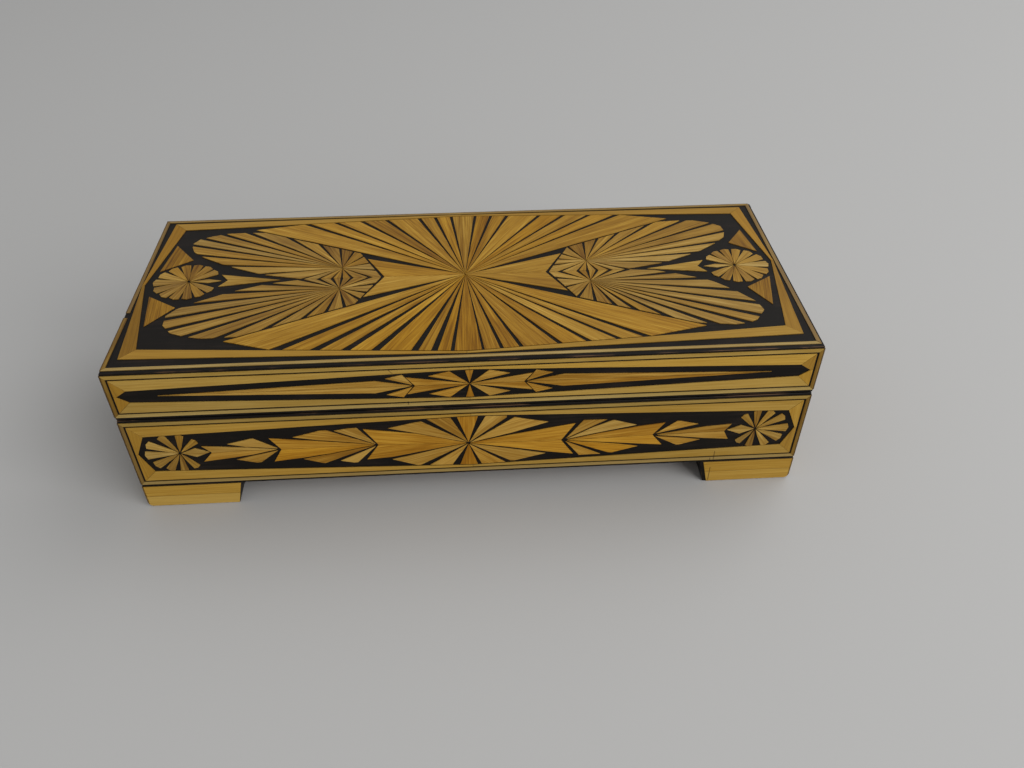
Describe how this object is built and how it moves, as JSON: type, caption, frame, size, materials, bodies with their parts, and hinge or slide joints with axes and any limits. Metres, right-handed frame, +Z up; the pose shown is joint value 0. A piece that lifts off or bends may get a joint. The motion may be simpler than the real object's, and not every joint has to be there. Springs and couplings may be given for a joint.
{
  "type": "straw marquetry box",
  "caption": "Long low wooden box with a hinged lid and block feet, covered with flattened straw laid as sunbursts, fans, leaves and rosettes on a black ground.",
  "frame": {"origin": "middle of the box in plan, on the floor under the feet", "axes": "front face looks to -Y, +X runs along the length to the right, +Z up"},
  "size_m": [0.2, 0.081, 0.053],
  "materials": {
    "black_wood": "black stained and varnished outside",
    "bare_wood": "plain planed softwood",
    "gold_straw": "satin flattened straw, golden",
    "amber_straw": "satin flattened straw, amber",
    "pale_straw": "satin flattened straw, pale gold",
    "brass": "aged"
  },
  "bodies": {
    "box": {"body_front_wall": "black_wood", "body_back_wall": "black_wood", "body_left_wall": "black_wood", "body_right_wall": "black_wood", "bottom_board": "bare_wood", "foot_front_left": "black_wood", "foot_front_right": "black_wood", "foot_back_left": "black_wood", "foot_back_right": "black_wood", "foot_facings": "gold_straw", "hinge_left_body_leaf": "brass", "hinge_left_pin": "brass", "hinge_right_body_leaf": "brass", "hinge_right_pin": "brass", "hinge_body_nails": "brass", "body_front_border": "gold_straw", "body_front_spray": "amber_straw", "body_front_rosettes": "pale_straw", "body_back_border": "gold_straw", "body_back_spray": "amber_straw", "body_back_rosettes": "pale_straw", "body_left_border": "gold_straw", "body_left_spray": "amber_straw", "body_right_border": "gold_straw", "body_right_spray": "amber_straw"},
    "lid": {"lid_front_rail": "black_wood", "lid_back_rail": "black_wood", "lid_left_rail": "black_wood", "lid_right_rail": "black_wood", "lid_top_board": "black_wood", "hinge_left_lid_leaf": "brass", "hinge_right_lid_leaf": "brass", "hinge_lid_nails": "brass", "top_edge_lines": "gold_straw", "top_border": "gold_straw", "top_sunburst": "gold_straw", "top_fan_back_right": "pale_straw", "top_fan_back_left": "pale_straw", "top_fan_front_right": "pale_straw", "top_fan_front_left": "pale_straw", "top_rosette_left": "pale_straw", "top_rosette_right": "pale_straw", "top_field_pieces": "amber_straw", "lid_front_border": "gold_straw", "lid_front_spray": "amber_straw", "lid_back_border": "gold_straw", "lid_back_spray": "amber_straw", "lid_left_border": "gold_straw", "lid_left_spray": "amber_straw", "lid_right_border": "gold_straw", "lid_right_spray": "amber_straw"}
  },
  "joints": [
    {"name": "lid_hinge", "type": "hinge", "parent": "box", "child": "lid", "pos_m": [0, 0.0386, 0.0358], "axis": [-1, 0, 0], "range_deg": [0, 103]}
  ]
}
